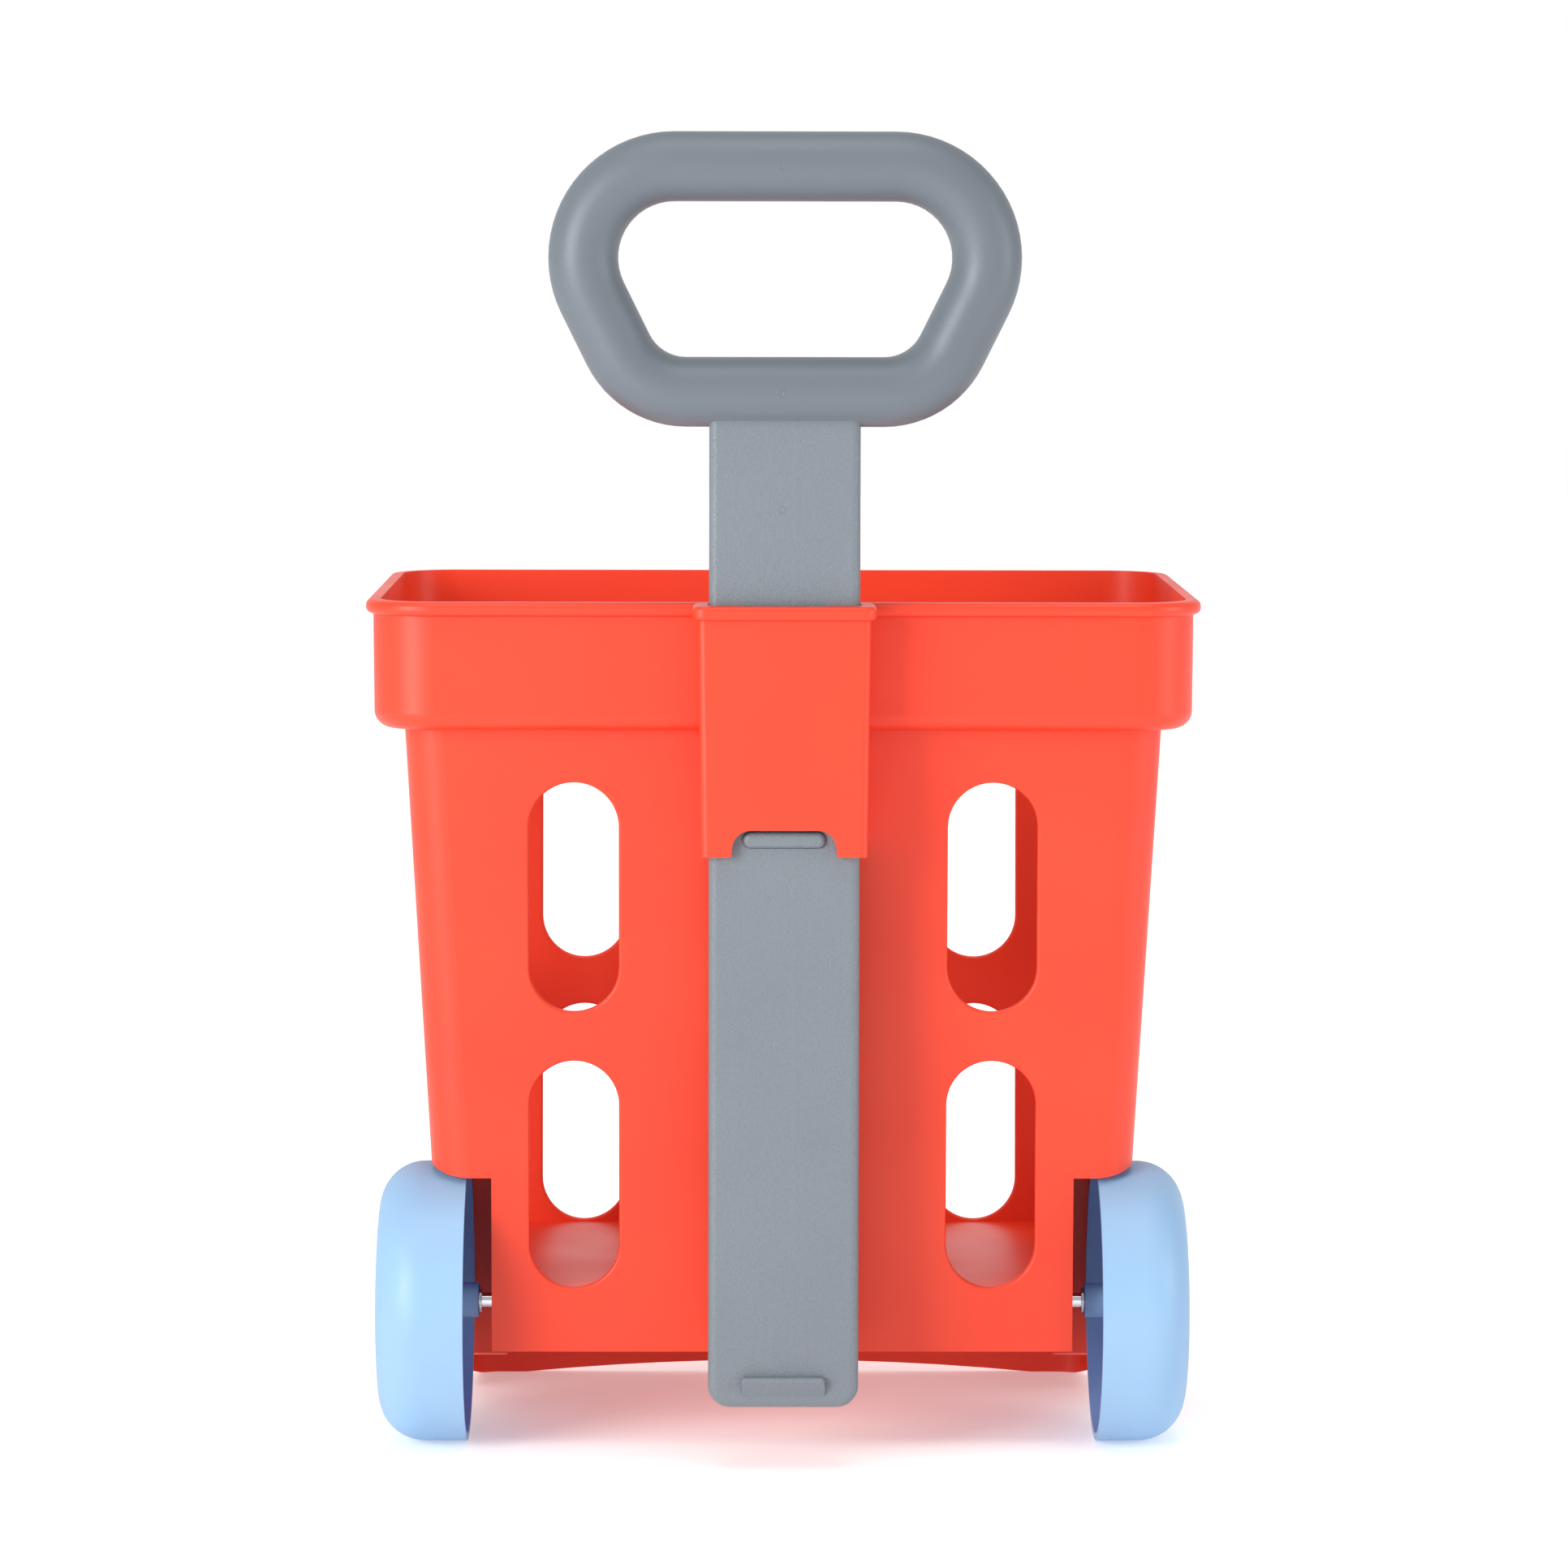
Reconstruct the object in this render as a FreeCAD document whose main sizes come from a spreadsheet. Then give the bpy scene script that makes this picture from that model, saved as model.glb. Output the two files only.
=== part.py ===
"""Toy shopping trolley: a moulded basket on two wheels with a pull-up handle.

Frame: millimetres, +Z up, floor at Z = 0. The handle side faces -Y, the feet of the
basket stand at the +Y side, X = 0 is the plane of symmetry. The origin is the centre of
the footprint of the whole trolley with its handle pushed down.
"""
import FreeCAD, Part
import Sketcher
import math
import os
import re

Vector = FreeCAD.Vector
os.makedirs("parts", exist_ok=True)
doc = FreeCAD.newDocument("trolley")

# --------------------------------------------------------------------------------------
# Driving dimensions
# --------------------------------------------------------------------------------------
DIMENSIONS = {
    # basket: rim and collar
    "rim_width": 292, "rim_depth": 190, "rim_height": 301, "rim_corner": 24,
    "bead_height": 5, "bead_proud": 2.5, "bead_round": 2.2,
    "collar_height": 45, "collar_draft": 0.5, "collar_step": 10.8, "collar_round": 6,
    # basket: tapering body under the collar
    "body_corner": 14, "body_draft": 3.2, "wall": 2.6,
    "back_skirt_height": 34.5, "side_skirt_height": 20, "foot_length": 50,
    "front_arch_rise": 4.5, "front_arch_width": 190,
    "floor_above_axle": 4.5, "foot_corner": 9,
    # slots in the walls
    "slot_width": 31.4, "slot_height": 81, "slot_spacing": 146.4, "slot_above_floor": 1,
    "slot_rise": 98.6, "side_slot_spacing": 62, "slot_round": 0.9,
    # wheel wells and axle
    "axle_inset": 44, "axle_diameter": 5, "arch_clearance": 2.5, "well_gap": 5.3,
    "boss_diameter": 11, "boss_length": 8,
    # wheels
    "wheel_diameter": 99, "wheel_width": 31.8, "wheel_inset": 2.8, "tread_draft": 0.6,
    "wheel_shoulder": 15.9, "wheel_wall": 2.6, "dome_rise": 2.3, "dome_radius": 217,
    "hub_diameter": 12.2, "hub_proud": 3.7, "bore_clearance": 0.05,
    "cap_diameter": 24, "cap_recess": 4.5, "cap_thickness": 1.6, "cap_gap": 0.1,
    "washer_diameter": 11, "washer_thickness": 0.8, "nut_diameter": 9, "nut_thickness": 0.8,
    "clip_diameter": 8.6, "clip_thickness": 0.8, "running_gap": 0.3, "axle_end": 0.6,
    # handle post and grip
    "post_width": 52, "post_thickness": 14, "post_bottom": 22.6, "post_edge_round": 3,
    "post_corner": 7.5, "post_gap": 0.4, "shell_wall": 2.6, "post_into_grip": 2,
    "grip_diameter": 24, "grip_top": 463.5, "grip_bottom": 362.2,
    "grip_upper_radius": 31.3, "grip_upper_centre": 38,
    "grip_lower_radius": 26, "grip_lower_centre": 34,
    # sleeve that guides the post
    "sleeve_wall": 3.4, "sleeve_side_top": 3.45, "sleeve_side_bottom": 2.25,
    "sleeve_bottom": 214.6, "sleeve_edge_round": 2.5,
    "sleeve_bead_proud": 1.8, "notch_foot_width": 38, "notch_height": 9.3,
    "notch_round": 6.6, "notch_lean": 1, "relief_depth": 2.2,
    # catch
    "catch_width": 28.7, "catch_height": 5.6, "catch_top": 223.1, "catch_proud": 2.3,
    "catch_gap": 0.15, "flange_gap": 0.05, "catch_round": 2.75, "catch_edge_round": 2.1,
    "flange_margin": 3, "flange_thickness": 2, "flange_round": 1.5,
    "spring_height": 5, "spring_length": 9, "spring_strip": 0.4, "spring_fold": 0.7,
    # stops on the handle
    "ramp_top": 33.9, "ramp_height": 7, "ramp_proud": 3.4, "ramp_ledge": 1.6, "ramp_round": 1.2,
    "stop_height": 4, "stop_proud": 3, "rest_gap": 0.2, "lift_gap": 1,
    # screws that close the handle
    "screw_diameter": 3, "screw_head_diameter": 5.6, "screw_head_height": 2,
    "screw_boss_diameter": 7.4, "screw_length": 9, "screw_sink": 1.2, "screw_clearance": 0.2,
    "screw_low": 58, "screw_middle": 140, "screw_high": 300, "screw_outset": 4,
    # how far a cutting shape runs past the surface it cuts
    "past": 5,
}

# Places and sizes that follow from the driving dimensions.
DERIVED = {
    # the post hangs behind the rim, so the basket sits forward of the origin
    "basket_y": "(post_gap * 2 + post_thickness + sleeve_wall + sleeve_bead_proud) / 2",
    "rim_back": "basket_y - rim_depth / 2",
    "rim_front": "basket_y + rim_depth / 2",
    "post_y": "rim_back - post_gap - post_thickness / 2",
    "post_back": "post_y - post_thickness / 2",
    "sleeve_back": "post_back - post_gap - sleeve_wall",
    "collar_bottom": "rim_height - collar_height",
    "collar_width": "rim_width - 2 * bead_proud",
    "collar_depth": "rim_depth - 2 * bead_proud",
    "collar_narrowing": "2 * collar_height * tan(collar_draft)",
    "collar_corner": "rim_corner - bead_proud",
    "body_width": "collar_width - 2 * collar_step",
    "body_depth": "collar_depth - 2 * collar_step",
    "body_narrowing": "2 * collar_bottom * tan(body_draft)",
    "axle_z": "wheel_diameter / 2",
    "floor_height": "axle_z + floor_above_axle",
    "floor_narrowing": "2 * (collar_bottom - floor_height) * tan(body_draft)",
    "axle_y": "rim_back + axle_inset",
    "arch_radius": "wheel_diameter / 2 + arch_clearance",
    "wheel_face": "rim_width / 2 - wheel_inset - wheel_width",
    "well_face": "wheel_face - hub_proud - well_gap",
    "boss_outer": "well_face - wall / 2",
    "boss_inner": "boss_outer - boss_length",
    "recess_face": "wheel_face + wheel_width - cap_recess",
    "axle_half": "recess_face + running_gap + washer_thickness + nut_thickness + axle_end",
    "slot_low_centre": "floor_height + wall + slot_above_floor + slot_height / 2",
    "slot_high_centre": "slot_low_centre + slot_rise",
    "sleeve_top_width": "post_width + 2 * post_gap + 2 * sleeve_side_top",
    "sleeve_bottom_width": "post_width + 2 * post_gap + 2 * sleeve_side_bottom",
    "grip_low_z": "grip_bottom + grip_diameter / 2",
    "grip_high_z": "grip_top - grip_diameter / 2",
    "grip_hollow": "grip_diameter - 2 * shell_wall",
    "notch_top": "sleeve_bottom + notch_height",
    "handle_travel": "notch_top - ramp_top - lift_gap",
    "catch_z": "catch_top - catch_height / 2",
    "shell_inside": "post_thickness / 2 - shell_wall",
}

sheet = doc.addObject("Spreadsheet::Sheet", "sheet")
for row, (alias, value) in enumerate(DIMENSIONS.items(), start=1):
    sheet.set("A%d" % row, alias)
    sheet.set("B%d" % row, str(value))
    sheet.setAlias("B%d" % row, alias)
for row, alias in enumerate(DERIVED, start=1):
    sheet.set("D%d" % row, alias)
    sheet.setAlias("E%d" % row, alias)
for row, formula in enumerate(DERIVED.values(), start=1):
    degrees = re.sub(r"tan\((\w+)\)", r"tan(\1 * 1deg)", formula)
    sheet.set("E%d" % row, "=" + degrees)
doc.recompute()

ALIAS = re.compile(r"\b(" + "|".join(list(DIMENSIONS) + list(DERIVED)) + r")\b")


def from_sheet(formula):
    """The formula with every alias read from the sheet."""
    return ALIAS.sub(r"sheet.\1", str(formula))


def number(formula):
    """The formula's value now."""
    return float(sheet.evalExpression(from_sheet(formula)))


def bind(thing, **formulas):
    """Tie properties of a document object to formulas; Base_x means Placement.Base.x."""
    for name, formula in formulas.items():
        path = "Placement.Base." + name[-1] if name.startswith("Base_") else name
        thing.setExpression(path, from_sheet(formula))
    return thing


# --------------------------------------------------------------------------------------
# Sketch helpers
# --------------------------------------------------------------------------------------
START, END, MIDDLE = 1, 2, 3
ORIGIN = (-1, START)


def new_body(name):
    body = doc.addObject("PartDesign::Body", name)
    body.Label = name
    return body


def new_sketch(body, name, role, away="0", across="0", up="0"):
    """A sketch on one of the body's origin planes, moved away along its normal."""
    sketch = body.newObject("Sketcher::SketchObject", name)
    plane = next(item for item in body.Origin.OriginFeatures if item.Role == role)
    sketch.AttachmentSupport = (plane, [""])
    sketch.MapMode = "FlatFace"
    sketch.setExpression("AttachmentOffset.Base.x", from_sheet(across))
    sketch.setExpression("AttachmentOffset.Base.y", from_sheet(up))
    sketch.setExpression("AttachmentOffset.Base.z", from_sheet(away))
    return sketch


def constrain(sketch, kind, *where, formula):
    """Add a dimension whose value is a formula."""
    index = sketch.addConstraint(Sketcher.Constraint(kind, *where, abs(number(formula))))
    sign = "-" if number(formula) < 0 else ""
    sketch.setExpression("Constraints[%d]" % index, "%s(%s)" % (sign, from_sheet(formula)))


def place_point(sketch, curve, end, x, y):
    """Hold one point of a curve at (x, y), each a formula."""
    for kind, axis, formula in (("DistanceX", -2, x), ("DistanceY", -1, y)):
        if abs(number(formula)) < 1e-9:
            sketch.addConstraint(Sketcher.Constraint("PointOnObject", curve, end, axis))
        elif number(formula) > 0:
            constrain(sketch, kind, *ORIGIN, curve, end, formula=formula)
        else:
            constrain(sketch, kind, curve, end, *ORIGIN, formula=formula)


def rounded_rectangle(sketch, width, depth, radius, x="0", y="0"):
    """A rectangle with round corners, its middle at (x, y)."""
    wide, deep, r = number(width) / 2, number(depth) / 2, number(radius)
    cx, cy = number(x), number(y)
    corners = []
    for quarter, (side, end) in enumerate(((1, 1), (-1, 1), (-1, -1), (1, -1))):
        centre = Vector(cx + side * (wide - r), cy + end * (deep - r), 0)
        circle = Part.Circle(centre, Vector(0, 0, 1), r)
        turn = quarter * math.pi / 2
        corners.append(sketch.addGeometry(Part.ArcOfCircle(circle, turn, turn + math.pi / 2)))
    sides = []
    for first in range(4):
        a = sketch.Geometry[corners[first]].EndPoint
        b = sketch.Geometry[corners[(first + 1) % 4]].StartPoint
        line = sketch.addGeometry(Part.LineSegment(a, b))
        sides.append(line)
        sketch.addConstraint(Sketcher.Constraint("Tangent", corners[first], END, line, START))
        sketch.addConstraint(
            Sketcher.Constraint("Tangent", line, END, corners[(first + 1) % 4], START))
    for line, kind in zip(sides, ("Horizontal", "Vertical", "Horizontal", "Vertical")):
        sketch.addConstraint(Sketcher.Constraint(kind, line))
    for corner in corners[1:]:
        sketch.addConstraint(Sketcher.Constraint("Equal", corners[0], corner))
    constrain(sketch, "Radius", corners[0], formula=radius)
    edge = {"left": "(%s) - (%s) / 2" % (x, width), "right": "(%s) + (%s) / 2" % (x, width),
            "low": "(%s) - (%s) / 2" % (y, depth), "high": "(%s) + (%s) / 2" % (y, depth)}
    hold_line(sketch, sides[1], "DistanceX", edge["left"])
    hold_line(sketch, sides[3], "DistanceX", edge["right"])
    hold_line(sketch, sides[0], "DistanceY", edge["high"])
    hold_line(sketch, sides[2], "DistanceY", edge["low"])
    return sketch


def hold_line(sketch, line, kind, formula):
    """Hold a level or upright line at its distance from the sketch's origin."""
    if number(formula) > 0:
        constrain(sketch, kind, *ORIGIN, line, START, formula=formula)
    else:
        constrain(sketch, kind, line, START, *ORIGIN, formula=formula)


def outline(sketch, points, bulges=None):
    """A closed outline through points (formulas); bulges gives edges that are arcs.

    bulges maps the number of an edge to (radius, turn), where turn is +1 when the arc
    runs anticlockwise and -1 when it runs clockwise.
    """
    bulges = bulges or {}
    spots = [Vector(number(x), number(y), 0) for x, y in points]
    ends = []
    for index, here in enumerate(spots):
        there = spots[(index + 1) % len(spots)]
        if index in bulges:
            radius, turn = bulges[index]
            chord = there - here
            r = number(radius)
            rise = math.sqrt(r * r - chord.Length ** 2 / 4)
            inward = Vector(-chord.y, chord.x, 0).normalize() * (turn * rise)
            centre = (here + there) * 0.5 + inward
            first, last = (here, there) if turn > 0 else (there, here)
            angles = [math.atan2(p.y - centre.y, p.x - centre.x) for p in (first, last)]
            circle = Part.Circle(centre, Vector(0, 0, 1), r)
            curve = sketch.addGeometry(Part.ArcOfCircle(circle, *angles))
            ends.append((curve, START, END) if turn > 0 else (curve, END, START))
        else:
            curve = sketch.addGeometry(Part.LineSegment(here, there))
            ends.append((curve, START, END))
    for index, (curve, begin, finish) in enumerate(ends):
        following = ends[(index + 1) % len(ends)]
        sketch.addConstraint(
            Sketcher.Constraint("Coincident", curve, finish, following[0], following[1]))
        place_point(sketch, curve, begin, *points[index])
        if index in bulges:
            constrain(sketch, "Radius", curve, formula=bulges[index][0])
    return sketch


def upright_slot(sketch, width, height, x="0", y="0"):
    """An upright slot with half-round ends, its middle at (x, y)."""
    r, reach = number(width) / 2, (number(height) - number(width)) / 2
    cx, cy = number(x), number(y)
    top, low = [
        sketch.addGeometry(Part.ArcOfCircle(
            Part.Circle(Vector(cx, cy + way * reach, 0), Vector(0, 0, 1), r), start,
            start + math.pi))
        for way, start in ((1, 0), (-1, math.pi))]
    left, right = [
        sketch.addGeometry(Part.LineSegment(
            Vector(cx + way * r, cy - way * reach, 0), Vector(cx + way * r, cy + way * reach, 0)))
        for way in (-1, 1)]
    for first, second in ((top, left), (left, low), (low, right), (right, top)):
        sketch.addConstraint(Sketcher.Constraint("Tangent", first, END, second, START))
    sketch.addConstraint(Sketcher.Constraint("Vertical", left))
    sketch.addConstraint(Sketcher.Constraint("Equal", top, low))
    hold_line(sketch, left, "DistanceX", "(%s) - (%s) / 2" % (x, width))
    hold_line(sketch, right, "DistanceX", "(%s) + (%s) / 2" % (x, width))
    straight = "((%s) - (%s)) / 2" % (height, width)
    for curve, sign in ((top, "+"), (low, "-")):
        middle = "(%s) %s %s" % (y, sign, straight)
        if abs(number(middle)) < 1e-9:
            sketch.addConstraint(Sketcher.Constraint("PointOnObject", curve, MIDDLE, -1))
        elif number(middle) > 0:
            constrain(sketch, "DistanceY", *ORIGIN, curve, MIDDLE, formula=middle)
        else:
            constrain(sketch, "DistanceY", curve, MIDDLE, *ORIGIN, formula=middle)
    return sketch


def circle(sketch, radius, x="0", y="0"):
    curve = sketch.addGeometry(
        Part.Circle(Vector(number(x), number(y), 0), Vector(0, 0, 1), number(radius)))
    place_point(sketch, curve, MIDDLE, x, y)
    constrain(sketch, "Radius", curve, formula=radius)
    return sketch


# --------------------------------------------------------------------------------------
# Feature helpers
# --------------------------------------------------------------------------------------
def feature(body, kind, name, sketch=None, reversed_=False, **formulas):
    """Add a sketch-based feature; a feature that changes nothing is an error."""
    before = body.Shape.Volume if body.Tip else 0.0
    item = body.newObject("PartDesign::" + kind, name)
    item.Profile = sketch
    if reversed_:
        item.Reversed = True
    bind(item, **formulas)
    doc.recompute()
    if abs(body.Shape.Volume - before) < 1e-6:
        raise RuntimeError(name + " changes nothing")
    return item


def loft(body, kind, name, low, high):
    before = body.Shape.Volume if body.Tip else 0.0
    item = body.newObject("PartDesign::" + kind, name)
    item.Profile = low
    item.Sections = [high]
    item.Ruled = True
    doc.recompute()
    if abs(body.Shape.Volume - before) < 1e-6:
        raise RuntimeError(name + " changes nothing")
    return item


def fillet(body, name, radius, wanted):
    """Round the edges of the body's tip for which wanted(edge) is true."""
    base = body.Tip
    edges = ["Edge%d" % (i + 1) for i, edge in enumerate(base.Shape.Edges) if wanted(edge)]
    if not edges:
        raise RuntimeError(name + " finds no edge")
    item = body.newObject("PartDesign::Fillet", name)
    item.Base = (base, edges)
    bind(item, Radius=radius)
    doc.recompute()
    return item


def near(a, b, within=0.05):
    return abs(a - b) < within


def level_at(edge, z):
    """True for an edge that lies at height z."""
    return near(edge.BoundBox.ZMin, z) and near(edge.BoundBox.ZMax, z)


def box(name, x, y, z, length, width, height):
    """A box from its lowest corner (x, y, z), all formulas."""
    item = doc.addObject("Part::Box", name)
    return bind(item, Length=length, Width=width, Height=height, Base_x=x, Base_y=y, Base_z=z)


def cylinder(name, radius, height, x="0", y="0", z="0", axis=(0, 0, 1)):
    """A cylinder from the middle of its first end, along axis."""
    item = doc.addObject("Part::Cylinder", name)
    item.Placement = FreeCAD.Placement(Vector(), FreeCAD.Rotation(Vector(0, 0, 1), Vector(*axis)))
    return bind(item, Radius=radius, Height=height, Base_x=x, Base_y=y, Base_z=z)


def cut(name, base, *tools):
    tool = tools[0] if len(tools) == 1 else fuse(name + "_tools", *tools)
    item = doc.addObject("Part::Cut", name)
    item.Base, item.Tool = base, tool
    return item


def fuse(name, *shapes):
    item = doc.addObject("Part::MultiFuse", name)
    item.Shapes = list(shapes)
    return item


def common(name, first, second):
    item = doc.addObject("Part::MultiCommon", name)
    item.Shapes = [first, second]
    return item


# --------------------------------------------------------------------------------------
# Basket
# --------------------------------------------------------------------------------------
def section(body, name, width, depth, corner, z):
    """A level section of the basket at height z."""
    return rounded_rectangle(
        new_sketch(body, name, "XY_Plane", away=z), width, depth, corner, y="basket_y")


def cut_wells(body, tag, radius, face):
    """Cut the two wheel wells: an arch around the axle, open below and behind."""
    for side, sign in (("left", "-"), ("right", "")):
        sketch = new_sketch(body, side + tag, "YZ_Plane", away="%s(%s)" % (sign, face),
                            across="axle_y", up="axle_z")
        drop = "(axle_z + %s)" % radius
        upright_slot(sketch, "2 * (%s)" % radius, "2 * (%s) + %s" % (radius, drop),
                     y="-%s / 2" % drop)
        feature(body, "Pocket", side + "_well" + tag, sketch, reversed_=side == "right",
                Length="rim_width / 2")


def wall_slots(name, role, columns, away, length, reverse):
    """A body of upright round-ended slots to cut through the basket's walls.

    columns gives each slot column's place across the wall and whether it has a lower slot.
    """
    body = new_body(name)
    for index, (place, has_low) in enumerate(columns):
        centres = ["slot_high_centre"] + (["slot_low_centre"] if has_low else [])
        for centre in centres:
            sketch = new_sketch(body, "%s_%d_%s" % (name, index, centre), role, away=away)
            upright_slot(sketch, "slot_width", "slot_height", x=place, y=centre)
            feature(body, "Pad", "%s_pad_%d_%s" % (name, index, centre), sketch,
                    reversed_=reverse, Length=length)
    return body


def basket_form():
    """The basket's outer form as one solid, before it is hollowed."""
    body = new_body("basket_form")
    low = section(body, "foot_section", "body_width - body_narrowing",
                  "body_depth - body_narrowing", "body_corner", "0")
    high = section(body, "neck_section", "body_width", "body_depth", "body_corner",
                   "collar_bottom")
    loft(body, "AdditiveLoft", "body_block", low, high)
    low = section(body, "collar_low", "collar_width - collar_narrowing",
                  "collar_depth - collar_narrowing", "collar_corner", "collar_bottom")
    high = section(body, "collar_high", "collar_width", "collar_depth", "collar_corner",
                   "rim_height")
    loft(body, "AdditiveLoft", "collar_block", low, high)
    fillet(body, "collar_edge", "collar_round", lambda edge: (
        level_at(edge, number("collar_bottom"))
        and is_outside(edge, "body_width + collar_step", "body_depth + collar_step")))
    bead = section(body, "bead_section", "rim_width", "rim_depth", "rim_corner",
                   "rim_height - bead_height")
    feature(body, "Pad", "rim_bead", bead, Length="bead_height")
    fillet(body, "bead_edge", "bead_round", lambda edge: (
        edge.BoundBox.ZMin > number("rim_height - bead_height") - 0.05
        and near(edge.BoundBox.ZMin, edge.BoundBox.ZMax)
        and is_outside(edge, "rim_width - 1", "rim_depth - 1")))
    cut_wells(body, "_outer", "arch_radius", "well_face")
    trim = new_sketch(body, "skirt_line", "YZ_Plane", away="-rim_width / 2")
    outline(trim, [("rim_back - past", "-past"), ("rim_back - past", "back_skirt_height"),
                   ("axle_y + arch_radius", "back_skirt_height"),
                   ("axle_y + arch_radius", "side_skirt_height"),
                   ("rim_front - foot_length - wall", "0"),
                   ("rim_front - foot_length - wall", "-past")])
    feature(body, "Pocket", "skirt_trim", trim, reversed_=True, Length="rim_width")
    arch = new_sketch(body, "front_arch_line", "XZ_Plane", away="-rim_front - past")
    side = "((body_width - body_narrowing) / 2 + foot_corner * tan(body_draft * 1deg))"
    heel = "(%s - foot_corner)" % side
    outline(arch, [
        ("-%s - past" % side, "-past"), ("-%s - past" % side, "foot_corner"),
        ("-" + side, "foot_corner"), ("-" + heel, "0"), ("-front_arch_width / 2", "0"),
        ("front_arch_width / 2", "0"), (heel, "0"), (side, "foot_corner"),
        (side + " + past", "foot_corner"), (side + " + past", "-past")],
        {2: ("foot_corner", 1), 6: ("foot_corner", 1),
         4: ("front_arch_width * front_arch_width / (8 * front_arch_rise)"
             " + front_arch_rise / 2", -1)})
    feature(body, "Pocket", "front_arch", arch, reversed_=True,
            Length="rim_front + past - axle_y - arch_radius")
    return body


def is_outside(edge, width, depth):
    """True when an edge keeps outside a level rectangle around the basket's middle."""
    wide, deep, middle = number(width) / 2, number(depth) / 2, number("basket_y")
    spot = edge.valueAt((edge.FirstParameter + edge.LastParameter) / 2)
    return abs(spot.x) > wide or abs(spot.y - middle) > deep


def basket_hollow():
    """The space inside the basket: the tapering part and the wider part in the collar."""
    body = new_body("basket_hollow")
    low = section(body, "hollow_floor", "body_width - floor_narrowing - 2 * wall",
                  "body_depth - floor_narrowing - 2 * wall", "body_corner - wall",
                  "floor_height + wall")
    high = section(body, "hollow_neck", "body_width - 2 * wall", "body_depth - 2 * wall",
                   "body_corner - wall", "collar_bottom + wall")
    loft(body, "AdditiveLoft", "hollow_body", low, high)
    low = section(body, "hollow_collar_low", "collar_width - collar_narrowing - 2 * wall",
                  "collar_depth - collar_narrowing - 2 * wall", "collar_corner - wall",
                  "collar_bottom + wall")
    high = section(body, "hollow_collar_high", "collar_width - 2 * wall",
                   "collar_depth - 2 * wall", "collar_corner - wall", "rim_height + past")
    loft(body, "AdditiveLoft", "hollow_collar", low, high)
    fillet(body, "hollow_collar_edge", "collar_round - wall", lambda edge: (
        level_at(edge, number("collar_bottom + wall"))
        and is_outside(edge, "body_width + collar_step", "body_depth + collar_step")))
    cut_wells(body, "_inside", "(arch_radius + wall)", "well_face - wall")
    return body


def underside_hollow():
    """The space under the basket's floor, inside the skirt."""
    body = new_body("underside_hollow")
    low = section(body, "underside_low", "body_width - body_narrowing - 2 * wall",
                  "body_depth - body_narrowing - 2 * wall", "body_corner - wall", "-past")
    high = section(body, "underside_high", "body_width - floor_narrowing - 2 * wall",
                   "body_depth - floor_narrowing - 2 * wall", "body_corner - wall",
                   "floor_height")
    loft(body, "AdditiveLoft", "underside_block", low, high)
    cut_wells(body, "_under", "(arch_radius + wall)", "well_face - wall")
    return body


def make_basket(form):
    """The moulded basket with its slots, wheel wells, skirt and axle bosses."""
    back_slots = wall_slots(
        "back_slots", "XZ_Plane", [("-slot_spacing / 2", True), ("slot_spacing / 2", True)],
        "-basket_y", "rim_depth / 2 + past", False)
    front_slots = wall_slots(
        "front_slots", "XZ_Plane",
        [("-slot_spacing / 2", True), ("0", True), ("slot_spacing / 2", True)],
        "-basket_y", "rim_depth / 2 + past", True)
    side_slots = wall_slots(
        "side_slots", "YZ_Plane",
        [("basket_y - side_slot_spacing / 2", False), ("basket_y + side_slot_spacing / 2", True)],
        "-rim_width / 2 - past", "rim_width + 2 * past", False)
    shell = cut("basket_shell", form, basket_hollow(), underside_hollow(), back_slots,
                front_slots, side_slots)
    bosses = []
    for side, sign, axis in (("left", "-", 1), ("right", "", -1)):
        bosses.append(cylinder(
            side + "_boss", "boss_diameter / 2", "boss_length", x=sign + "boss_outer",
            y="axle_y", z="axle_z", axis=(axis, 0, 0)))
    bored = cylinder("axle_bore", "axle_diameter / 2", "rim_width", x="-rim_width / 2",
                     y="axle_y", z="axle_z", axis=(1, 0, 0))
    sharp = cut("basket_with_bore", fuse("basket_with_bosses", shell, *bosses), bored)
    doc.recompute()
    body = new_body("basket")
    body.BaseFeature = sharp
    doc.recompute()
    fillet(body, "slot_edges", "slot_round", is_slot_edge)
    return body


def is_slot_edge(edge):
    """True for an edge of a wall slot, on the inside or the outside of the wall."""
    b = edge.BoundBox
    low = number("slot_low_centre - slot_height / 2")
    high = number("slot_high_centre + slot_height / 2")
    if b.ZMin < low - 0.05 or b.ZMax > high + 0.05 or b.ZLength < 1:
        return False
    half = number("slot_width / 2")
    columns = [number(c) for c in ("-slot_spacing / 2", "0", "slot_spacing / 2")]
    rows = [number("basket_y - side_slot_spacing / 2"), number("basket_y + side_slot_spacing / 2")]
    in_columns = any(b.XMin > c - half - 0.05 and b.XMax < c + half + 0.05 for c in columns)
    in_rows = any(b.YMin > c - half - 0.05 and b.YMax < c + half + 0.05 for c in rows)
    slope = number("slot_height * tan(body_draft * 1deg)")
    return (in_columns and b.YLength < slope) or (in_rows and b.XLength < slope)


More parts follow.
